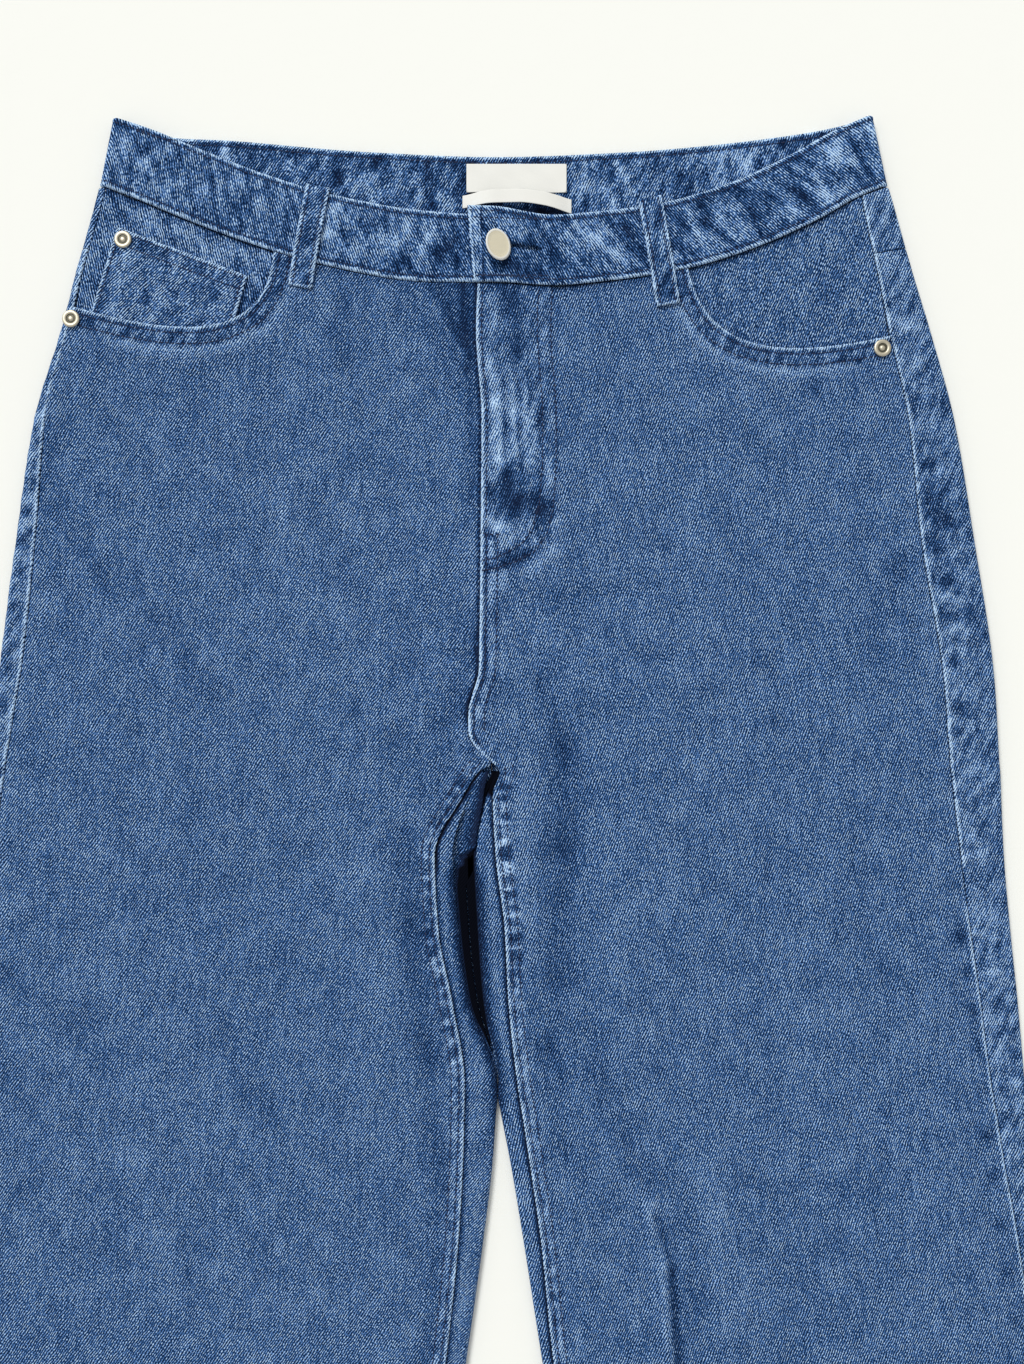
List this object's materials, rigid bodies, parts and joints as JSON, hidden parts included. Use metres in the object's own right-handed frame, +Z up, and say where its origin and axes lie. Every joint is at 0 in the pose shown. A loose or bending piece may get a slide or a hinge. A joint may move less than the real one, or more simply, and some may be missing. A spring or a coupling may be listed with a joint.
{
  "type": "straight leg jeans",
  "caption": "Straight leg denim jeans lying flat on their back, with front pockets, coin pocket, fly, belt loops and a shank button.",
  "frame": {"origin": "middle of the garment's outline on the surface that it lies on", "axes": "+Z up from the surface, +Y towards the waist, +X towards the wearer's left"},
  "size_m": [0.6465, 1.0862, 0.0185],
  "materials": {
    "denim": "mid-blue washed twill denim",
    "denim_pocket": "mid-blue twill denim, less worn",
    "denim_band": "washed twill denim, roped and worn along its edges",
    "hardware": "satin champagne-coloured metal",
    "label_cloth": "off-white woven ribbon, bare"
  },
  "bodies": {
    "root": {"front_left": "denim", "front_right": "denim", "back_left": "denim", "back_right": "denim", "yoke_left": "denim", "yoke_right": "denim", "back_pocket_left": "denim", "back_pocket_right": "denim", "pocket_facing_left": "denim_pocket", "pocket_facing_right": "denim_pocket", "coin_pocket": "denim_pocket", "waistband": "denim_band", "belt_loop_front_left": "denim_band", "belt_loop_front_right": "denim_band", "belt_loop_back_left": "denim_band", "belt_loop_back_centre": "denim_band", "belt_loop_back_right": "denim_band", "button": "hardware", "rivet_coin": "hardware", "rivet_right": "hardware", "rivet_left": "hardware", "label": "label_cloth", "label_loop": "label_cloth"}
  },
  "joints": []
}
